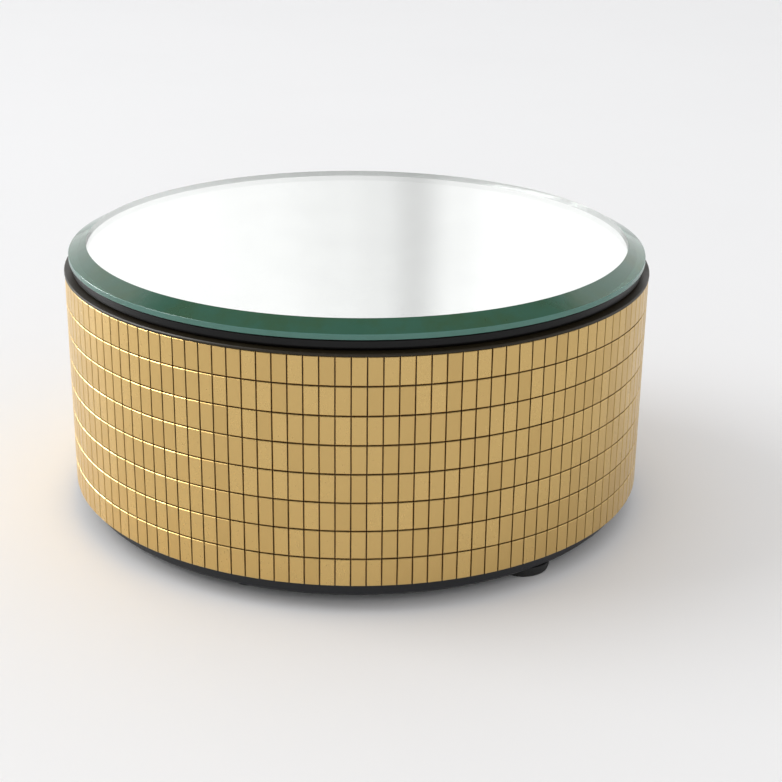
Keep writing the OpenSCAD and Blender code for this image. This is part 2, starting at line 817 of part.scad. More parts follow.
module claws(z, h, turn) {
    for (i = [0 : claw_count - 1]) {
        rotate(turn + i * 360 / claw_count) translate([0, 0, z])
            rotate_extrude(angle = claw_deg, $fn = round_fn) translate([claw_r, 0]) square([claw_t, h]);
    }
}

module lower_pole_plate() {
    color([0.6, 0.61, 0.62]) at_rotor() {
        translate([0, 0, coil_z]) ring(can_r - run_gap, claw_r, pole_plate_t);
        claws(coil_z + pole_plate_t / 2, coil_h - claw_short, 0);
    }
}

module upper_pole_plate() {
    color([0.6, 0.61, 0.62]) at_rotor() {
        translate([0, 0, gear_plate_z - pole_plate_t]) ring(can_r - run_gap, claw_r, pole_plate_t);
        claws(gear_plate_z - pole_plate_t / 2 - coil_h + claw_short, coil_h - claw_short, 180 / claw_count);
    }
}

module coil_bobbin() {
    color([0.93, 0.93, 0.9]) at_rotor() {
        translate([0, 0, bobbin_low]) ring(bobbin_out_r, bobbin_r, bobbin_t);
        translate([0, 0, bobbin_low]) ring(bobbin_r + bobbin_t, bobbin_r, bobbin_high - bobbin_low);
        translate([0, 0, bobbin_high - bobbin_t]) ring(bobbin_out_r, bobbin_r, bobbin_t);
    }
}

module coil_winding() {
    color([0.75, 0.4, 0.2]) at_rotor() translate([0, 0, bobbin_low + bobbin_t])
        ring(winding_r, bobbin_r + bobbin_t + run_gap, bobbin_high - bobbin_low - 2 * bobbin_t);
}

module gear_plate() {
    color([0.7, 0.71, 0.72]) difference() {
        at_rotor() translate([0, 0, gear_plate_z])
            ring(can_r - run_gap, rotor_sleeve_r + sleeve_gap, gear_plate_t);
        translate([0, 0, gear_plate_z - cut]) rod(journal_r + run_gap, gear_plate_t + 2 * cut);
        for (at = [cluster_1_at, cluster_2_at]) {
            translate([at[0], at[1], gear_plate_z - cut]) rod(axle_r, gear_plate_t + 2 * cut);
        }
    }
}

module gear_axles() {
    color([0.8, 0.8, 0.82]) {
        at_rotor() translate([0, 0, motor_z]) rod(axle_r, layer_2_z + layer_2 / 4 - motor_z);
        for (at = [cluster_1_at, cluster_2_at]) {
            translate([at[0], at[1], gear_plate_z]) rod(axle_r, cover_z + axle_seat - gear_plate_z);
        }
    }
}

module rotor_hub() {
    low_gap = 0.4;
    high_gap = 0.7;
    root = 0.1;
    low = coil_z + low_gap;
    high = gear_plate_z - high_gap;
    color([0.95, 0.93, 0.88]) at_rotor() difference() {
        union() {
            translate([0, 0, low]) rod(rotor_core_r, high - low);
            translate([0, 0, high - cut]) rod(rotor_sleeve_r, layer_1_z - high + cut);
            translate([0, 0, layer_1_z - root]) gear(fine_m, pinion_n, pinion_add, layer_1 + root, mesh_1);
        }
        translate([0, 0, motor_z]) rod(axle_r + run_gap, motor_top - motor_z);
    }
}

module rotor_magnet() {
    low_gap = 0.9;
    high_gap = 1;
    low = coil_z + low_gap;
    high = gear_plate_z - high_gap;
    color([0.25, 0.25, 0.27]) at_rotor() translate([0, 0, low]) ring(magnet_r, rotor_core_r, high - low);
}

module gear_cluster_1() {
    color([0.95, 0.93, 0.88]) translate([cluster_1_at[0], cluster_1_at[1], 0]) difference() {
        union() {
            translate([0, 0, layer_1_z])
                gear(fine_m, wheel_n, wheel_add, layer_1, mesh_1 + 180 + 180 / wheel_n);
            translate([0, 0, layer_1_z])
                gear(fine_m, pinion_n, pinion_add, layer_2_z + layer_2 - layer_1_z, mesh_2);
        }
        translate([0, 0, gear_plate_z]) rod(axle_r + run_gap, motor_top);
    }
}

module gear_cluster_2() {
    spacer_r = 1.2;
    color([0.95, 0.93, 0.88]) translate([cluster_2_at[0], cluster_2_at[1], 0]) difference() {
        union() {
            translate([0, 0, layer_1_z - gear_gap / 2]) rod(spacer_r, layer_2_z - layer_1_z + cut);
            translate([0, 0, layer_2_z])
                gear(fine_m, wheel_n, wheel_add, layer_2, mesh_2 + 180 + 180 / wheel_n);
            translate([0, 0, layer_2_z])
                gear(coarse_m, pinion_n, pinion_add, layer_3_z + layer_3 - layer_2_z, mesh_3);
        }
        translate([0, 0, gear_plate_z]) rod(axle_r + run_gap, motor_top);
    }
}

module output_gear() {
    color([0.95, 0.93, 0.88]) translate([0, 0, layer_3_z]) difference() {
        gear(coarse_m, output_n, wheel_add, layer_3, mesh_3 + 180 + 180 / output_n);
        translate([0, 0, -cut]) rod(shaft_r, layer_3 + 2 * cut);
    }
}

// ---- Turning top ----

// A round bar with one flat from flat_from upwards
module d_bar(r, h, flat_from) {
    difference() {
        rod(r, h);
        translate([-2 * r, r - flat_depth, flat_from]) cube([4 * r, r, h]);
    }
}

module output_shaft() {
    color([0.8, 0.8, 0.82]) {
        translate([0, 0, gear_plate_z]) rod(journal_r, layer_3_z - gear_plate_z + cut / 2);
        translate([0, 0, layer_3_z]) d_bar(shaft_r, shaft_top - layer_3_z, flat_z - layer_3_z);
    }
}

module at_hub_screws(z) {
    for (i = [0 : hub_screw_count - 1]) {
        rotate(i * 360 / hub_screw_count) translate([hub_screw_r, 0, z]) children();
    }
}

module drive_hub() {
    sleeve_z = flat_z + hub_above_flat;
    color([0.9, 0.9, 0.86]) difference() {
        union() {
            translate([0, 0, sleeve_z]) rod(hub_r, platter_z + hub_spigot_h - sleeve_z);
            translate([0, 0, platter_z - hub_flange_t]) rod(hub_flange_r, hub_flange_t);
        }
        translate([0, 0, sleeve_z - cut]) d_bar(shaft_r + run_gap, platter_top, -cut);
        at_hub_screws(sleeve_z) rod(hub_hole_r, platter_top);
    }
}

module hub_screws() {
    color([0.7, 0.7, 0.72]) at_hub_screws(platter_z - hub_flange_t)
        screw(hub_pilot_r, hub_flange_t + hub_spigot_h, hub_head_r, hub_head_h);
}

module platter_disc() {
    bead = 0.9;
    plate_top = tape_z - platter_z;
    corner = 0.4;
    lip_w = 3.7;
    lip_in = platter_r - lip_w;
    hole_r = hub_r + hole_gap;
    steps = 6;
    arc = [for (i = [0 : steps]) let (a = -90 + i * 90 / steps)
        [platter_r - bead, bead] + bead * [cos(a), sin(a)]];
    color([0.06, 0.06, 0.07]) difference() {
        union() {
            translate([0, 0, platter_z]) rotate_extrude($fn = round_fn)
                polygon(concat([[hole_r, 0]], arc,
                    [[platter_r, platter_edge_h - corner], [platter_r - corner, platter_edge_h],
                        [lip_in, platter_edge_h], [lip_in, plate_top], [hole_r, plate_top]]));
            for (r = rib_rings) {
                translate([0, 0, platter_z - rib_h]) ring(r + rib_t, r, rib_h + rib_root);
            }
            for (i = [0 : rib_count - 1]) {
                rotate(i * 360 / rib_count) translate([hub_flange_r + rib_start, -rib_t / 2,
                    platter_z - rib_h])
                    cube([rib_rings[1] - hub_flange_r, rib_t, rib_h + rib_root]);
            }
        }
        at_hub_screws(platter_z - cut) rod(hub_pilot_r, cut + hub_spigot_h + hole_gap);
    }
}

module track_ring() {
    color([0.78, 0.79, 0.8]) translate([0, 0, track_z])
        ring(track_r + track_w / 2, track_r - track_w / 2, track_t);
}

module glass_tape() {
    tape_inset = 5;
    tape_hole = 4;
    color([0.85, 0.85, 0.8]) translate([0, 0, tape_z])
        ring(platter_r - tape_inset, hub_r + tape_hole, tape_t);
}

module mirror_silvering() {
    color([0.8, 0.82, 0.83]) translate([0, 0, silver_z])
        cylinder(r = platter_r, h = silver_t, $fn = round_fn);
}

module mirror_glass() {
    arris = 0.3;
    color([0.55, 0.72, 0.64, 0.5]) translate([0, 0, glass_z]) rotate_extrude($fn = round_fn)
        polygon([[0, 0], [glass_r - arris, 0], [glass_r, arris], [glass_r, glass_edge_h - arris / 2],
            [glass_r - arris / 2, glass_edge_h], [glass_r - bevel_w, glass_t], [0, glass_t]]);
}

drum_shell();
trim_ring();
mosaic_backing();
mosaic_row(1);  // mosaic_row_1
mosaic_row(2);  // mosaic_row_2
mosaic_row(3);  // mosaic_row_3
mosaic_row(4);  // mosaic_row_4
mosaic_row(5);  // mosaic_row_5
mosaic_row(6);  // mosaic_row_6
mosaic_row(7);  // mosaic_row_7
mosaic_row(8);  // mosaic_row_8
base_plate();
base_screws();
rubber_feet();
foot_screws();
rear_panel();
rear_panel_screws();
switch_body();
switch_rocker();
switch_terminals();
inlet_body();
inlet_pin();
inlet_nut();
inlet_terminals();
lead_inlet_switch();
lead_switch_motor();
lead_inlet_motor();
roller_brackets();
bracket_screws();
roller_pins();
roller(1);  // roller_1
roller(2);  // roller_2
roller(3);  // roller_3
motor_can();
motor_cover();
motor_screws();
motor_nuts();
motor_lead_boot();
shaft_bushing();
lower_pole_plate();
upper_pole_plate();
coil_bobbin();
coil_winding();
gear_plate();
gear_axles();
rotor_hub();
rotor_magnet();
gear_cluster_1();
gear_cluster_2();
output_gear();
output_shaft();
drive_hub();
hub_screws();
platter_disc();
track_ring();
glass_tape();
mirror_silvering();
mirror_glass();
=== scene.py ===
# %% [markdown]
# # A motorised mirror turntable
# The object is a low drum, clad in a grid of satin gold tiles, that carries a round bevelled mirror. The
# drum stands still and the mirror turns. All the measured geometry comes from a packed engineering model,
# the frame. This lesson builds the visible surfaces around that frame and gives every piece a finish.

# %% Load the frame
import bpy
import bmesh
import json
import math
from mathutils import Matrix, Vector


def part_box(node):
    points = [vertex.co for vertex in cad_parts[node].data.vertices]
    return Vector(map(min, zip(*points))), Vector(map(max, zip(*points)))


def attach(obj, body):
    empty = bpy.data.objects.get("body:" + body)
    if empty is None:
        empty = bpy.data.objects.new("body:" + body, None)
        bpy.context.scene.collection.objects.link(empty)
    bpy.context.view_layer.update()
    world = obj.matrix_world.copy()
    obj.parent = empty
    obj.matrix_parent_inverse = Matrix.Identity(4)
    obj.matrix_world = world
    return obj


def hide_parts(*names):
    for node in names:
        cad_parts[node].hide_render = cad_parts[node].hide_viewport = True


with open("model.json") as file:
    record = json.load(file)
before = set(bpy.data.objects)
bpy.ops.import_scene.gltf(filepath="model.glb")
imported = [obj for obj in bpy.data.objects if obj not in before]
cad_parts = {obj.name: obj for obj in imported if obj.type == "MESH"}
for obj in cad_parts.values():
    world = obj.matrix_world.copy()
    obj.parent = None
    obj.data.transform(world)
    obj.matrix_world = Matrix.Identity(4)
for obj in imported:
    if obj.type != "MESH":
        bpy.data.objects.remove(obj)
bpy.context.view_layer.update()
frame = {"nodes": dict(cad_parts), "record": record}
nodes = frame["nodes"]
MM = 0.001

# %% [markdown]
# ## Sizes
# Each level and radius is read from the box of the piece that owns it, so the looks follow the frame if a
# size in it changes. Counts and widths that no box shows, such as the number of tiles round the drum, are
# named where they are used.

# %% Read the sizes
def low(node):
    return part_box(node)[0]


def high(node):
    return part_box(node)[1]


drum_radius = high("mosaic_row_1").x
backing_radius = high("mosaic_backing").x
tile_thickness = drum_radius - backing_radius
mosaic_bottom = low("mosaic_backing").z
mosaic_top = high("mosaic_backing").z
tile_joint = 2 * (low("mosaic_row_1").z - mosaic_bottom)
tile_rows = sum(name.startswith("mosaic_row_") for name in nodes)
row_pitch = (mosaic_top - mosaic_bottom) / tile_rows
tile_height = row_pitch - tile_joint
TILE_COLUMNS = 132
tile_width = 2 * drum_radius * math.tan(math.pi / TILE_COLUMNS) - tile_joint
print(f"tile {tile_width / MM:.2f} x {tile_height / MM:.2f} mm, joint {tile_joint / MM:.2f} mm")
print("rows:", tile_rows, "columns:", TILE_COLUMNS)

# %% [markdown]
# ## The camera
# Product pictures are taken with a long lens from a little above, which keeps the drum's sides nearly
# parallel. The camera is placed by its distance and height angle, then turned a touch off the centre.

# %% Place the camera
CAMERA_DISTANCE = 0.5948
CAMERA_HEIGHT_ANGLE = 0.409
CAMERA_SIDE_ANGLE = math.radians(-0.35)
CAMERA_YAW = -0.021
CAMERA_PITCH = 0.041
CAMERA_ROLL = -0.004
LENS_MM = 74.02


def place_camera():
    aim = Vector((0, 0, mosaic_bottom))
    out = Vector((0, -math.cos(CAMERA_HEIGHT_ANGLE), math.sin(CAMERA_HEIGHT_ANGLE)))
    out = Matrix.Rotation(CAMERA_SIDE_ANGLE, 3, "Z") @ out
    forward = -out
    right = forward.cross(Vector((0, 0, 1))).normalized()
    up = right.cross(forward)
    turn = Matrix.Rotation(CAMERA_YAW, 3, up)
    forward, right = turn @ forward, turn @ right
    turn = Matrix.Rotation(CAMERA_PITCH, 3, right)
    forward, up = turn @ forward, turn @ up
    turn = Matrix.Rotation(CAMERA_ROLL, 3, forward)
    right, up = turn @ right, turn @ up
    data = bpy.data.cameras.new("camera")
    data.lens = LENS_MM
    data.sensor_width = 36
    data.clip_start = 0.01
    camera = bpy.data.objects.new("camera", data)
    bpy.context.scene.collection.objects.link(camera)
    camera.matrix_world = Matrix.Translation(aim + CAMERA_DISTANCE * out) @ Matrix(
        (right, up, -forward)).transposed().to_4x4()
    bpy.context.scene.camera = camera
    print("camera at", [round(v, 3) for v in camera.location])


place_camera()

# %% [markdown]
# ## Small helpers for materials
# Every finish is a tree of shader nodes. These three helpers keep the trees short to read: one starts a
# material, one adds a node, and one joins two sockets.

# %% Material helpers
def start_material(name, **values):
    material = bpy.data.materials.new(name)
    material.use_nodes = True
    shader = material.node_tree.nodes["Principled BSDF"]
    for socket, value in values.items():
        shader.inputs[socket.replace("_", " ")].default_value = value
    return material, material.node_tree, shader


def add(tree, kind, **settings):
    node = tree.nodes.new(kind)
    for key, value in settings.items():
        if hasattr(node, key):
            setattr(node, key, value)
        else:
            node.inputs[key.replace("_", " ")].default_value = value
    return node


def wire(tree, out_socket, in_socket):
    tree.links.new(out_socket, in_socket)


def rgb(r, g, b):
    return (r, g, b, 1.0)

# %% [markdown]
# ## Shared effects
# Real surfaces are never one flat value. Two node groups are used by many finishes: a fine grain, which
# breaks up gloss and gives a bump height, and handling marks, a slow cloudy mask where fingers and dust
# dull a surface. A group only puts out values that change over the surface, and each material feeds them
# to its own shader.

# %% The grain group
def group_sockets(group, ins, outs):
    for name, kind, value in ins:
        socket = group.interface.new_socket(name, in_out="INPUT", socket_type=kind)
        socket.default_value = value
    for name, kind in outs:
        group.interface.new_socket(name, in_out="OUTPUT", socket_type=kind)
    return group.nodes.new("NodeGroupInput"), group.nodes.new("NodeGroupOutput")


# A noise texture's values crowd around the middle, so this share of them is spread over the full range
NOISE_SPAN = (0.3, 0.7)
CLOUD_SPAN = (0.45, 0.7)


def make_grain_group():
    group = bpy.data.node_groups.new("fine grain", "ShaderNodeTree")
    start, end = group_sockets(
        group,
        [("Scale", "NodeSocketFloat", 2000.0), ("Stretch", "NodeSocketVector", (1, 1, 1)),
         ("Low", "NodeSocketFloat", 0.3), ("High", "NodeSocketFloat", 0.5)],
        [("Value", "NodeSocketFloat"), ("Height", "NodeSocketFloat")])
    place = group.nodes.new("ShaderNodeTexCoord")
    stretch = group.nodes.new("ShaderNodeVectorMath")
    stretch.operation = "MULTIPLY"
    noise = group.nodes.new("ShaderNodeTexNoise")
    noise.inputs["Detail"].default_value = 3
    spread = group.nodes.new("ShaderNodeMapRange")
    group.links.new(place.outputs["Object"], stretch.inputs[0])
    group.links.new(start.outputs["Stretch"], stretch.inputs[1])
    group.links.new(stretch.outputs[0], noise.inputs["Vector"])
    group.links.new(start.outputs["Scale"], noise.inputs["Scale"])
    group.links.new(noise.outputs["Fac"], spread.inputs["Value"])
    spread.inputs["From Min"].default_value, spread.inputs["From Max"].default_value = NOISE_SPAN
    group.links.new(start.outputs["Low"], spread.inputs["To Min"])
    group.links.new(start.outputs["High"], spread.inputs["To Max"])
    group.links.new(spread.outputs["Result"], end.inputs["Value"])
    group.links.new(noise.outputs["Fac"], end.inputs["Height"])
    return group


grain_group = make_grain_group()

# %% The handling marks group
def make_marks_group():
    group = bpy.data.node_groups.new("handling marks", "ShaderNodeTree")
    start, end = group_sockets(
        group,
        [("Scale", "NodeSocketFloat", 40.0), ("Clean", "NodeSocketFloat", 0.0),
         ("Marked", "NodeSocketFloat", 1.0)],
        [("Mask", "NodeSocketFloat")])
    place = group.nodes.new("ShaderNodeTexCoord")
    clouds = group.nodes.new("ShaderNodeTexNoise")
    clouds.inputs["Detail"].default_value = 5
    clouds.inputs["Roughness"].default_value = 0.6
    spread = group.nodes.new("ShaderNodeMapRange")
    spread.inputs["From Min"].default_value, spread.inputs["From Max"].default_value = CLOUD_SPAN
    group.links.new(place.outputs["Object"], clouds.inputs["Vector"])
    group.links.new(start.outputs["Scale"], clouds.inputs["Scale"])
    group.links.new(clouds.outputs["Fac"], spread.inputs["Value"])
    group.links.new(start.outputs["Clean"], spread.inputs["To Min"])
    group.links.new(start.outputs["Marked"], spread.inputs["To Max"])
    group.links.new(spread.outputs["Result"], end.inputs["Mask"])
    return group


marks_group = make_marks_group()


def use_group(tree, group, **values):
    node = tree.nodes.new("ShaderNodeGroup")
    node.node_tree = group
    for socket, value in values.items():
        node.inputs[socket].default_value = value
    return node


def add_bump(tree, shader, height, strength, distance):
    bump = tree.nodes.new("ShaderNodeBump")
    bump.inputs["Strength"].default_value = strength
    bump.inputs["Distance"].default_value = distance
    wire(tree, height, bump.inputs["Height"])
    wire(tree, bump.outputs["Normal"], shader.inputs["Normal"])

# %% [markdown]
# ## The tile finish
# The tiles are satin metal, toned gold. A single gold over a thousand tiles looks printed, so each tile
# carries its own tone, a random number stored on the mesh when the tiles are laid. The tone moves the
# colour between a paler and a redder gold and changes the gloss a little. A fine upright grain does the rest.

# %% The gold finish
PALE_GOLD = rgb(0.63, 0.435, 0.17)
RED_GOLD = rgb(0.56, 0.38, 0.145)
TONE_ROUGHNESS = 0.06


def make_gold():
    material, tree, shader = start_material("satin gold", Metallic=1.0)
    tone = add(tree, "ShaderNodeAttribute", attribute_name="tone")
    colour = add(tree, "ShaderNodeMix", data_type="RGBA")
    colour.inputs["A"].default_value = PALE_GOLD
    colour.inputs["B"].default_value = RED_GOLD
    wire(tree, tone.outputs["Fac"], colour.inputs["Factor"])
    wire(tree, colour.outputs["Result"], shader.inputs["Base Color"])
    grain = use_group(tree, grain_group, Scale=1500.0, Stretch=(1, 1, 0.35), Low=0.24, High=0.36)
    rough = add(tree, "ShaderNodeMath", operation="MULTIPLY_ADD")
    rough.inputs[1].default_value = TONE_ROUGHNESS
    wire(tree, tone.outputs["Fac"], rough.inputs[0])
    wire(tree, grain.outputs["Value"], rough.inputs[2])
    wire(tree, rough.outputs["Value"], shader.inputs["Roughness"])
    add_bump(tree, shader, grain.outputs["Height"], strength=0.25, distance=0.04 * MM)
    return material


gold = make_gold()

# %% [markdown]
# ## Moulded plastic, rubber and plated steel
# The other finishes follow one recipe: a base colour that varies a little, a gloss that the marks group
# dulls in places, and a fine bump. A function makes them all, so each finish is one line of values.

# %% A recipe for plain finishes
BUMP_DEPTH = 0.03 * MM


def make_finish(name, colour, other, rough, marks=0.1, metal=0.0, bump=0.1, **more):
    material, tree, shader = start_material(name, Metallic=metal, **more)
    texture = use_group(tree, grain_group, Scale=1800.0, Low=0.0, High=1.0)
    mask = use_group(tree, marks_group, Scale=55.0, Clean=rough, Marked=rough + marks)
    mix = add(tree, "ShaderNodeMix", data_type="RGBA")
    mix.inputs["A"].default_value = rgb(*colour)
    mix.inputs["B"].default_value = rgb(*other)
    wire(tree, texture.outputs["Value"], mix.inputs["Factor"])
    wire(tree, mix.outputs["Result"], shader.inputs["Base Color"])
    wire(tree, mask.outputs["Mask"], shader.inputs["Roughness"])
    add_bump(tree, shader, texture.outputs["Height"], bump, BUMP_DEPTH)
    return material


finishes = {
    "abs_black": make_finish("moulded black", (0.016, 0.016, 0.018), (0.024, 0.024, 0.026), 0.42, bump=0.3),
    "base_black": make_finish("base black", (0.012, 0.013, 0.015), (0.018, 0.019, 0.022), 0.4, bump=0.2,
                              Specular_IOR_Level=0.3),
    "platter_black": make_finish("gloss black", (0.005, 0.005, 0.005), (0.008, 0.008, 0.008), 0.3, bump=0.1,
                                 Specular_IOR_Level=0.2),
    "trim_brown": make_finish("brown black trim", (0.016, 0.012, 0.006), (0.026, 0.019, 0.009), 0.4, bump=0.1,
                              Specular_IOR_Level=0.25),
    "backing_brown": make_finish("brown joint", (0.05, 0.024, 0.008), (0.085, 0.042, 0.014), 0.7, bump=0.5),
    "foot_rubber": make_finish("foot rubber", (0.006, 0.006, 0.006), (0.012, 0.012, 0.012), 0.75, bump=0.4),
    "switch_black": make_finish("switch black", (0.010, 0.010, 0.010), (0.016, 0.016, 0.016), 0.28, bump=0.1),
    "screw_steel": make_finish("zinc plate", (0.55, 0.55, 0.54), (0.63, 0.62, 0.58), 0.3, metal=1.0),
    "steel_plate": make_finish("rolled steel", (0.50, 0.51, 0.52), (0.60, 0.60, 0.61), 0.34, metal=1.0),
    "pin_steel": make_finish("ground steel", (0.66, 0.66, 0.67), (0.74, 0.74, 0.74), 0.16, metal=1.0,
                             marks=0.05),
    "contact_brass": make_finish("tinned brass", (0.66, 0.56, 0.34), (0.74, 0.66, 0.46), 0.3, metal=1.0),
    "bronze_bush": make_finish("sintered bronze", (0.42, 0.25, 0.11), (0.55, 0.34, 0.16), 0.45, metal=1.0,
                               bump=0.6),
    "copper_coil": make_finish("enamelled copper", (0.50, 0.18, 0.06), (0.62, 0.26, 0.10), 0.3, metal=1.0),
    "magnet_grey": make_finish("ferrite", (0.04, 0.04, 0.043), (0.065, 0.065, 0.07), 0.5),
    "nylon_white": make_finish("natural nylon", (0.72, 0.71, 0.64), (0.78, 0.77, 0.71), 0.4),
    "lead_blue": make_finish("blue insulation", (0.02, 0.03, 0.22), (0.03, 0.045, 0.28), 0.4),
    "lead_red": make_finish("red insulation", (0.36, 0.015, 0.015), (0.44, 0.03, 0.025), 0.4),
    "lead_black": make_finish("black insulation", (0.012, 0.012, 0.012), (0.02, 0.02, 0.02), 0.4),
    "tape_foam": make_finish("foam tape", (0.62, 0.62, 0.58), (0.72, 0.72, 0.68), 0.85, bump=0.8),
}
print("plain finishes:", len(finishes))

# %% [markdown]
# ## The mirror
# A mirror is glass with silver behind it. The flat top looks neutral, because light crosses only a few
# millimetres of glass. The bevel and the edge look deep green, because they send the eye sideways through
# the glass. So the glass gets three finishes, clear on the flat, green on the bevel and a paler green on the
# edge. The silver is a fourth, on the bottom face of the same closed mesh.

# %% The glass and silver finishes
GLASS_IOR = 1.52
CLEAR_TINT = (0.985, 1.0, 0.99)
SMEAR_ROUGHNESS = 0.012


def make_clear_glass():
    material, tree, shader = start_material(
        "clear glass", Metallic=0.0, Transmission_Weight=1.0, IOR=GLASS_IOR)
    clouds = use_group(tree, marks_group, Scale=25.0, Clean=0.0, Marked=1.0)
    mix = add(tree, "ShaderNodeMix", data_type="RGBA")
    mix.inputs["A"].default_value = rgb(*CLEAR_TINT)
    mix.inputs["B"].default_value = rgb(*[c * 0.96 for c in CLEAR_TINT])
    wire(tree, clouds.outputs["Mask"], mix.inputs["Factor"])
    wire(tree, mix.outputs["Result"], shader.inputs["Base Color"])
    smears = use_group(tree, marks_group, Scale=60.0, Clean=0.0, Marked=SMEAR_ROUGHNESS)
    wire(tree, smears.outputs["Mask"], shader.inputs["Roughness"])
    return material


clear_glass = make_clear_glass()


# Pale colour for faces seen from inside the glass: painted light, standing in for light that passes through
# the glass.
INNER_SIDE_PAINTED_LIGHT = rgb(0.80, 0.84, 0.82)
RIPPLE_DEPTH = 0.4 * MM


def make_green(name, colour, other, rough, clear, bump):
    """Glass seen edgeways: part of the light is lost in its green body and part comes through."""
    material, tree, shader = start_material(name, Metallic=0.0, Transmission_Weight=clear, IOR=GLASS_IOR)
    patches = use_group(tree, marks_group, Scale=70.0, Clean=0.0, Marked=1.0)
    mix = add(tree, "ShaderNodeMix", data_type="RGBA")
    mix.inputs["A"].default_value = rgb(*colour)
    mix.inputs["B"].default_value = rgb(*other)
    wire(tree, patches.outputs["Mask"], mix.inputs["Factor"])
    # Faces seen from inside the bevel and edge take the pale colour, a painted brightness in place of light
    # through the glass.
    side = tree.nodes.new("ShaderNodeNewGeometry")
    inner_painted_light = add(tree, "ShaderNodeMix", data_type="RGBA")
    inner_painted_light.inputs["B"].default_value = INNER_SIDE_PAINTED_LIGHT
    wire(tree, side.outputs["Backfacing"], inner_painted_light.inputs["Factor"])
    wire(tree, mix.outputs["Result"], inner_painted_light.inputs["A"])
    wire(tree, inner_painted_light.outputs["Result"], shader.inputs["Base Color"])
    cloud = use_group(tree, marks_group, Scale=30.0, Clean=rough, Marked=rough + 0.05)
    wire(tree, cloud.outputs["Mask"], shader.inputs["Roughness"])
    ripple = use_group(tree, grain_group, Scale=260.0, Low=0.0, High=1.0)
    add_bump(tree, shader, ripple.outputs["Height"], bump, RIPPLE_DEPTH)
    return material


green_glass = make_green(
    "green bevel glass", (0.047, 0.155, 0.10), (0.05, 0.13, 0.06), rough=0.04, clear=0.35, bump=0.1)
edge_glass = make_green(
    "green edge glass", (0.08, 0.225, 0.18), (0.07, 0.20, 0.15), rough=0.2, clear=0.2, bump=0.3)


def make_silver():
    material, tree, shader = start_material("silvering", Metallic=1.0)
    spots = use_group(tree, marks_group, Scale=90.0, Clean=0.0, Marked=1.0)
    mix = add(tree, "ShaderNodeMix", data_type="RGBA")
    mix.inputs["A"].default_value = rgb(0.95, 0.955, 0.95)
    mix.inputs["B"].default_value = rgb(0.94, 0.945, 0.94)
    wire(tree, spots.outputs["Mask"], mix.inputs["Factor"])
    wire(tree, mix.outputs["Result"], shader.inputs["Base Color"])
    shader.inputs["Roughness"].default_value = 0.0
    return material


silver = make_silver()
finishes["mirror_silver"] = silver
finishes["mirror_glass"] = clear_glass

# %% [markdown]
# ## Finish every piece of the frame
# The record says which slot each piece belongs to. A loop gives each piece the finish of its slot, where
# this script defines one, even where the piece is hidden inside the drum.

# %% Give the frame its finishes
def set_finish(piece, material):
    piece.data.materials.clear()
    piece.data.materials.append(material)


for part in frame["record"]["subparts"]:
    if part["material_slot"] in finishes:
        set_finish(nodes[part["node"]], finishes[part["material_slot"]])

# %% [markdown]
# ## Laying the tiles
# One tile is drawn first: a slab with a bevel around its face, and a face that crowns by a hair, as
# polished tiles do. Over a thousand copies go round the drum. Geometry Nodes lay them from a rule, with
# the tile count, the pitch and the tilt as named inputs, so the whole pattern can be changed in one place.

# %% One tile
TILE_BEVEL = 0.18 * MM
TILE_BEVEL_DEPTH = 0.8 * TILE_BEVEL
TILE_CROWN = 0.022 * MM
TILE_STEPS = 4


def link(piece):
    bpy.context.scene.collection.objects.link(piece)
    return piece


def make_object(name, bm):
    bmesh.ops.recalc_face_normals(bm, faces=bm.faces)
    mesh = bpy.data.meshes.new(name)
    bm.to_mesh(mesh)
    bm.free()
    return link(bpy.data.objects.new(name, mesh))


def smooth_piece(piece, degrees):
    piece.data.shade_smooth()
    piece.data.set_sharp_from_angle(angle=math.radians(degrees))


def tile_ring(bm, half_w, half_h, y):
    """A closed loop of points round the tile, with the same count on every level."""
    shares = [i / TILE_STEPS for i in range(TILE_STEPS)]
    corners = [(-1, -1), (1, -1), (1, 1), (-1, 1)]
    ring = []
    for (x0, z0), (x1, z1) in zip(corners, corners[1:] + corners[:1]):
        for s in shares:
            ring.append(bm.verts.new(((x0 + (x1 - x0) * s) * half_w, y, (z0 + (z1 - z0) * s) * half_h)))
    return ring


def make_tile():
    bm = bmesh.new()
    half_w, half_h = tile_width / 2, tile_height / 2
    back = tile_ring(bm, half_w, half_h, tile_thickness)
    side = tile_ring(bm, half_w, half_h, TILE_BEVEL_DEPTH)
    face = tile_ring(bm, half_w - TILE_BEVEL, half_h - TILE_BEVEL, 0.0)
    for a, b in ((back, side), (side, face)):
        for i in range(len(a)):
            j = (i + 1) % len(a)
            bm.faces.new((a[i], a[j], b[j], b[i]))
    bm.faces.new(back[::-1])
    n = TILE_STEPS
    grid = {}
    for i in range(n + 1):
        for j in range(n + 1):
            x = (2 * i / n - 1) * (half_w - TILE_BEVEL)
            z = (2 * j / n - 1) * (half_h - TILE_BEVEL)
            if 0 < i < n and 0 < j < n:
                crown = TILE_CROWN * (1 - (2 * i / n - 1) ** 2) * (1 - (2 * j / n - 1) ** 2)
                grid[i, j] = bm.verts.new((x, -crown, z))
            else:
                grid[i, j] = min(face, key=lambda v: (v.co.x - x) ** 2 + (v.co.z - z) ** 2)
    for i in range(n):
        for j in range(n):
            bm.faces.new((grid[i, j], grid[i + 1, j], grid[i + 1, j + 1], grid[i, j + 1]))
    tile = make_object("tile", bm)
    smooth_piece(tile, 15)
    print("faces in a tile:", len(tile.data.polygons))
    return tile


tile = make_tile()

# %% [markdown]
# ## The laying rule
# A cloud of points, one per tile, is numbered. The remainder of the number gives the column and the whole
# part gives the row. From those come the angle and the height. Points in the window for the rear panel are
# deleted, each point gets a small random tilt and a tone, and the tile is set on it.

# %% Build the laying tree
WINDOW_COLUMNS = 11
WINDOW_ROWS = 3
TILE_TILT = 0.006
TILE_SEED = 7


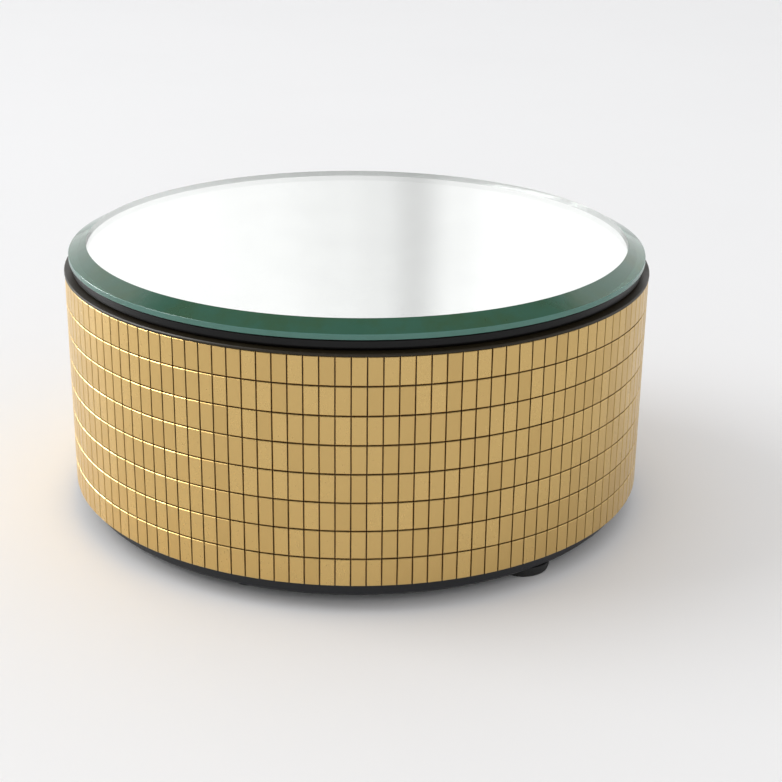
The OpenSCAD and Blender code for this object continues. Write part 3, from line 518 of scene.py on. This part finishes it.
def make_laying_tree():
    tree = bpy.data.node_groups.new("lay tiles", "GeometryNodeTree")
    tree.interface.new_socket("Geometry", in_out="OUTPUT", socket_type="NodeSocketGeometry")
    kinds = {int: "NodeSocketInt", float: "NodeSocketFloat"}
    settings = {
        "Columns": TILE_COLUMNS, "Rows": tile_rows, "Radius": drum_radius, "Bottom": mosaic_bottom,
        "Row pitch": row_pitch, "Tilt": TILE_TILT, "Window row": 1, "Window rows": WINDOW_ROWS,
        "Window half": WINDOW_COLUMNS // 2, "Seed": TILE_SEED}
    for name, value in settings.items():
        tree.interface.new_socket(name, in_out="INPUT", socket_type=kinds[type(value)])
    tree.interface.new_socket("Tile", in_out="INPUT", socket_type="NodeSocketObject")
    tree.interface.new_socket("Finish", in_out="INPUT", socket_type="NodeSocketMaterial")
    start = tree.nodes.new("NodeGroupInput")
    end = tree.nodes.new("NodeGroupOutput")

    def math_node(operation, a, b=None):
        node = tree.nodes.new("ShaderNodeMath")
        node.operation = operation
        for socket, value in zip(node.inputs, (a, b)):
            if isinstance(value, (int, float)):
                socket.default_value = value
            elif value is not None:
                tree.links.new(value, socket)
        return node.outputs[0]

    def random_node(low_value, high_value, salt):
        node = tree.nodes.new("FunctionNodeRandomValue")
        node.data_type = "FLOAT"
        for name, value in (("Min", low_value), ("Max", high_value)):
            socket = [s for s in node.inputs if s.name == name and s.type == "VALUE"][0]
            if isinstance(value, (int, float)):
                socket.default_value = value
            else:
                tree.links.new(value, socket)
        tree.links.new(math_node("ADD", start.outputs["Seed"], salt), node.inputs["Seed"])
        return [s for s in node.outputs if s.type == "VALUE"][0]

    index = tree.nodes.new("GeometryNodeInputIndex").outputs[0]
    column = math_node("MODULO", index, start.outputs["Columns"])
    row = math_node("FLOOR", math_node("DIVIDE", index, start.outputs["Columns"]))
    angle = math_node("MULTIPLY", column, math_node("DIVIDE", 2 * math.pi, start.outputs["Columns"]))
    x = math_node("MULTIPLY", math_node("SINE", angle), start.outputs["Radius"])
    y = math_node("MULTIPLY", math_node("COSINE", angle), math_node("MULTIPLY", start.outputs["Radius"], -1))
    middle = math_node("MULTIPLY", math_node("ADD", row, 0.5), start.outputs["Row pitch"])
    z = math_node("ADD", middle, start.outputs["Bottom"])
    place = tree.nodes.new("ShaderNodeCombineXYZ")
    for socket, value in zip(place.inputs, (x, y, z)):
        tree.links.new(value, socket)
    points = tree.nodes.new("GeometryNodePoints")
    count = math_node("MULTIPLY", start.outputs["Columns"], start.outputs["Rows"])
    tree.links.new(count, points.inputs["Count"])
    tree.links.new(place.outputs[0], points.inputs["Position"])

    tilt = start.outputs["Tilt"]
    less = math_node("MULTIPLY", tilt, -1)
    turn = tree.nodes.new("ShaderNodeCombineXYZ")
    tree.links.new(random_node(less, tilt, 1), turn.inputs[0])
    tree.links.new(random_node(less, tilt, 2), turn.inputs[1])
    tree.links.new(math_node("ADD", angle, random_node(less, tilt, 3)), turn.inputs[2])
    keep_turn = tree.nodes.new("GeometryNodeStoreNamedAttribute")
    keep_turn.data_type = "FLOAT_VECTOR"
    keep_turn.inputs["Name"].default_value = "turn"
    tree.links.new(points.outputs[0], keep_turn.inputs["Geometry"])
    tree.links.new(turn.outputs[0], keep_turn.inputs["Value"])

    rear = math_node("DIVIDE", start.outputs["Columns"], 2)
    off = math_node("ABSOLUTE", math_node("SUBTRACT", column, rear))
    near = math_node("LESS_THAN", off, math_node("ADD", start.outputs["Window half"], 0.5))
    above = math_node("GREATER_THAN", row, math_node("SUBTRACT", start.outputs["Window row"], 0.5))
    last_row = math_node("ADD", start.outputs["Window row"], start.outputs["Window rows"])
    below = math_node("LESS_THAN", row, math_node("SUBTRACT", last_row, 0.5))
    window = math_node("MULTIPLY", near, math_node("MULTIPLY", above, below))
    cut = tree.nodes.new("GeometryNodeDeleteGeometry")
    tree.links.new(keep_turn.outputs[0], cut.inputs["Geometry"])
    tree.links.new(window, cut.inputs["Selection"])

    shape = tree.nodes.new("GeometryNodeObjectInfo")
    tree.links.new(start.outputs["Tile"], shape.inputs["Object"])
    read_turn = tree.nodes.new("GeometryNodeInputNamedAttribute")
    read_turn.data_type = "FLOAT_VECTOR"
    read_turn.inputs["Name"].default_value = "turn"
    set_tiles = tree.nodes.new("GeometryNodeInstanceOnPoints")
    tree.links.new(cut.outputs[0], set_tiles.inputs["Points"])
    tree.links.new(shape.outputs["Geometry"], set_tiles.inputs["Instance"])
    turned = [s for s in read_turn.outputs if s.name == "Attribute" and s.enabled][0]
    tree.links.new(turned, set_tiles.inputs["Rotation"])
    tone = tree.nodes.new("GeometryNodeStoreNamedAttribute")
    tone.data_type = "FLOAT"
    tone.domain = "INSTANCE"
    tone.inputs["Name"].default_value = "tone"
    tree.links.new(set_tiles.outputs[0], tone.inputs["Geometry"])
    tree.links.new(random_node(0.0, 1.0, 4), tone.inputs["Value"])
    real = tree.nodes.new("GeometryNodeRealizeInstances")
    tree.links.new(tone.outputs[0], real.inputs[0])
    finish = tree.nodes.new("GeometryNodeSetMaterial")
    tree.links.new(real.outputs[0], finish.inputs["Geometry"])
    tree.links.new(start.outputs["Finish"], finish.inputs["Material"])
    tree.links.new(finish.outputs[0], end.inputs[0])
    return tree


laying_tree = make_laying_tree()

# %% Lay the tiles and keep them as a plain mesh
def set_input(modifier, name, value):
    """A modifier input is set by its socket's identifier."""
    for item in modifier.node_group.interface.items_tree:
        if item.item_type == "SOCKET" and item.in_out == "INPUT" and item.name == name:
            modifier[item.identifier] = value
            return
    raise KeyError(name)


def lay(name, tree, **values):
    mesh = bpy.data.meshes.new(name)
    holder = link(bpy.data.objects.new(name, mesh))
    modifier = holder.modifiers.new("lay", "NODES")
    modifier.node_group = tree
    for socket, value in values.items():
        set_input(modifier, socket.replace("_", " "), value)
    bpy.context.view_layer.update()
    seen = holder.evaluated_get(bpy.context.evaluated_depsgraph_get())
    plain = bpy.data.meshes.new_from_object(seen, preserve_all_data_layers=True,
                                            depsgraph=bpy.context.evaluated_depsgraph_get())
    holder.modifiers.remove(modifier)
    holder.data = plain
    print(name, "faces:", len(plain.polygons))
    return holder


panel_middle = (low("rear_panel").z + high("rear_panel").z) / 2
window_row = round((panel_middle - mosaic_bottom) / row_pitch - WINDOW_ROWS / 2)
mosaic = lay(
    "mosaic_tiles", laying_tree, Columns=TILE_COLUMNS, Rows=tile_rows, Radius=drum_radius,
    Bottom=mosaic_bottom, Row_pitch=row_pitch, Tilt=TILE_TILT, Window_row=window_row,
    Window_rows=WINDOW_ROWS, Window_half=WINDOW_COLUMNS // 2, Seed=TILE_SEED, Tile=tile, Finish=gold)
bpy.data.objects.remove(tile)
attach(mosaic, "housing")
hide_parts(*[f"mosaic_row_{i + 1}" for i in range(tile_rows)])

# %% [markdown]
# ## Turned pieces
# The glass is round, so it is made as on a lathe: a function spins an outline about the axis. An outline is
# a short list of radius and height pairs, closed into a loop. Corners that catch light are rounded with a
# short arc before the spin.

# %% A lathe
TURN_STEPS = 256


def rounded(points, radii, steps):
    """Replace each corner that has a radius by an arc that touches both of its sides."""
    result = []
    count = len(points)
    for i, (point, radius) in enumerate(zip(points, radii)):
        here = Vector(point)
        if not radius:
            result.append(here)
            continue
        back = (Vector(points[i - 1]) - here).normalized()
        on = (Vector(points[(i + 1) % count]) - here).normalized()
        half = back.angle(on) / 2
        reach = radius / math.tan(half)
        centre = here + (back + on).normalized() * radius / math.sin(half)
        a = here + back * reach - centre
        b = here + on * reach - centre
        sweep = a.angle_signed(b)
        for s in range(steps + 1):
            spoke = Matrix.Rotation(-sweep * s / steps, 2) @ a
            result.append(centre + spoke)
    return result


def turn_piece(name, outline, finish_list, pick, sharp):
    """Spin a closed outline about a vertical axis. pick(radius, height) chooses a finish for each band."""
    bm = bmesh.new()
    rings = []
    for radius, height in outline:
        if radius == 0:
            rings.append([bm.verts.new((0, 0, height))])
        else:
            rings.append([
                bm.verts.new((radius * math.cos(2 * math.pi * s / TURN_STEPS),
                              radius * math.sin(2 * math.pi * s / TURN_STEPS), height))
                for s in range(TURN_STEPS)])
    for i, ring in enumerate(rings):
        other = rings[(i + 1) % len(rings)]
        if len(ring) == 1 and len(other) == 1:
            continue
        a, b = Vector(outline[i]), Vector(outline[(i + 1) % len(outline)])
        middle = (a + b) / 2
        index = pick(middle.x, middle.y)
        for s in range(TURN_STEPS):
            t = (s + 1) % TURN_STEPS
            corners = [ring[s % len(ring)], ring[t % len(ring)], other[t % len(other)], other[s % len(other)]]
            unique = [v for k, v in enumerate(corners) if v not in corners[:k]]
            bm.faces.new(unique).material_index = index
    piece = make_object(name, bm)
    for finish in finish_list:
        piece.data.materials.append(finish)
    smooth_piece(piece, sharp)
    return piece

# %% [markdown]
# ## The bevelled mirror
# The outline has a flat bottom, a short upright edge, a wide shallow bevel and a flat top. The corners of
# the edge have a tiny arris, because on cut glass it draws a bright line. The bottom stops a hair above the
# frame's silvering, since two surfaces in one place would trap the light between them.

# %% Turn the mirror
glass_low, glass_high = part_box("mirror_glass")
glass_radius = glass_high.x
SILVER_GAP = 0.03 * MM
glass_bottom = glass_low.z + SILVER_GAP
glass_top = glass_high.z
BEVEL_WIDTH = 6.1 * MM
EDGE_HEIGHT = 1.8 * MM
ARRIS = 0.25 * MM


def make_mirror():
    edge_top = glass_low.z + EDGE_HEIGHT
    outline = rounded(
        [(0, glass_bottom), (glass_radius, glass_bottom), (glass_radius, edge_top),
         (glass_radius - BEVEL_WIDTH, glass_top), (0, glass_top)],
        [0, ARRIS, ARRIS, 0, 0], steps=3)

    def pick(radius, height):
        if height < glass_bottom + 0.01 * MM:
            return 3
        if radius > glass_radius - ARRIS:
            return 2
        if radius > glass_radius - BEVEL_WIDTH:
            return 1
        return 0

    return turn_piece("mirror_top", outline, [clear_glass, green_glass, edge_glass, silver], pick, sharp=8)


mirror = make_mirror()
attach(mirror, "platter")
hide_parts("mirror_glass")

# %% [markdown]
# ## The floor and the light
# A white floor and a bright surround give the soft look of a catalogue picture. A large lamp from the
# left and a little behind draws the white lines on the tile edges, and a low one behind the left side
# makes the brighter band of gold there. Both show only in glossy surfaces. A third lamp, which lights
# only matt ones, throws the soft shadow to the right. The surround lights matt surfaces evenly, so a soft
# dark pool gathers around the foot of the drum. In glossy ones the surround is bright near the horizon,
# where the flat mirror looks, and dark above, where the bevel looks, and that is why the bevel stands out
# dark.

# %% The floor
FLOOR_HALF = 6


def make_floor():
    bm = bmesh.new()
    bmesh.ops.create_grid(bm, x_segments=8, y_segments=8, size=FLOOR_HALF)
    floor = make_object("floor", bm)
    material, tree, shader = start_material("white floor", Roughness=0.7)
    shader.inputs["Specular IOR Level"].default_value = 0.2
    clouds = use_group(tree, marks_group, Scale=3.0, Clean=0.0, Marked=1.0)
    mix = add(tree, "ShaderNodeMix", data_type="RGBA")
    mix.inputs["A"].default_value = rgb(0.90, 0.90, 0.90)
    mix.inputs["B"].default_value = rgb(0.89, 0.89, 0.89)
    wire(tree, clouds.outputs["Mask"], mix.inputs["Factor"])
    wire(tree, mix.outputs["Result"], shader.inputs["Base Color"])
    set_finish(floor, material)
    return floor


floor = make_floor()


# %% The surround
BRIGHT_BELOW = 0.60
DARK_ABOVE = 0.74
DARK_SKY = rgb(0.22, 0.23, 0.22)
EVEN_LIGHT = rgb(0.70, 0.70, 0.71)
BAND_HALF_ANGLE = 0.25
BAND_STOPS = [
    (0.15, 1.0), (0.29, 0.985), (0.39, 0.94), (0.49, 0.855), (0.54, 0.80), (0.585, 0.67), (0.638, 0.91),
    (0.69, 1.0)]
SURROUND_STRENGTH = 1.15


def make_surround():
    world = bpy.data.worlds.new("surround")
    bpy.context.scene.world = world
    world.use_nodes = True
    tree = world.node_tree
    background = tree.nodes["Background"]
    place = tree.nodes.new("ShaderNodeTexCoord")
    split = tree.nodes.new("ShaderNodeSeparateXYZ")
    tree.links.new(place.outputs["Generated"], split.inputs[0])
    height = tree.nodes.new("ShaderNodeValToRGB")
    height.color_ramp.interpolation = "EASE"
    height.color_ramp.elements[0].position = BRIGHT_BELOW
    height.color_ramp.elements[0].color = (1, 1, 1, 1)
    height.color_ramp.elements[1].position = DARK_ABOVE
    height.color_ramp.elements[1].color = DARK_SKY
    tree.links.new(split.outputs["Z"], height.inputs[0])
    side = tree.nodes.new("ShaderNodeMath")
    side.operation = "ARCTAN2"
    tree.links.new(split.outputs["X"], side.inputs[0])
    tree.links.new(split.outputs["Y"], side.inputs[1])
    spread = tree.nodes.new("ShaderNodeMapRange")
    spread.inputs["From Min"].default_value = -BAND_HALF_ANGLE
    spread.inputs["From Max"].default_value = BAND_HALF_ANGLE
    tree.links.new(side.outputs[0], spread.inputs["Value"])
    band = tree.nodes.new("ShaderNodeValToRGB")
    ramp = band.color_ramp
    ramp.interpolation = "EASE"
    while len(ramp.elements) < len(BAND_STOPS):
        ramp.elements.new(0.5)
    for element, (position, value) in zip(ramp.elements, BAND_STOPS):
        element.position = position
        element.color = (value, value, value, 1)
    tree.links.new(spread.outputs["Result"], band.inputs[0])
    both = tree.nodes.new("ShaderNodeMix")
    both.data_type = "RGBA"
    both.blend_type = "MULTIPLY"
    both.inputs["Factor"].default_value = 1.0
    tree.links.new(height.outputs["Color"], both.inputs["A"])
    tree.links.new(band.outputs["Color"], both.inputs["B"])
    path = tree.nodes.new("ShaderNodeLightPath")
    seen = tree.nodes.new("ShaderNodeMix")
    seen.data_type = "RGBA"
    seen.inputs["B"].default_value = EVEN_LIGHT
    tree.links.new(path.outputs["Is Diffuse Ray"], seen.inputs["Factor"])
    tree.links.new(both.outputs["Result"], seen.inputs["A"])
    tree.links.new(seen.outputs["Result"], background.inputs["Color"])
    background.inputs["Strength"].default_value = SURROUND_STRENGTH


make_surround()

# %% The lamp
def add_lamp(name, direction, distance, size, power):
    data = bpy.data.lights.new(name, "AREA")
    data.shape = "DISK"
    data.size = size
    data.energy = power
    lamp = link(bpy.data.objects.new(name, data))
    direction = Vector(direction).normalized()
    lamp.location = direction * distance
    lamp.rotation_euler = direction.to_track_quat("Z", "Y").to_euler()
    return lamp


def hide_from_gloss(lamp):
    """The lamp lights matt surfaces, but doesn't show in the mirror or the glass."""
    lamp.visible_glossy = False
    lamp.visible_transmission = False


def hide_from_matt(lamp):
    """The lamp shows in glossy surfaces, but doesn't light matt ones."""
    lamp.visible_diffuse = False


KEY_DIRECTION = (-0.74, 0.08, 0.67)
LOW_DIRECTION = (-0.9, 0.42, 0.2)
hide_from_matt(add_lamp("key lamp", KEY_DIRECTION, distance=2.6, size=1.3, power=62))
hide_from_gloss(add_lamp("side lamp", KEY_DIRECTION, distance=2.6, size=1.8, power=24))
hide_from_matt(add_lamp("low lamp", LOW_DIRECTION, distance=1.6, size=0.7, power=20))

bpy.context.scene.view_settings.view_transform = "Standard"
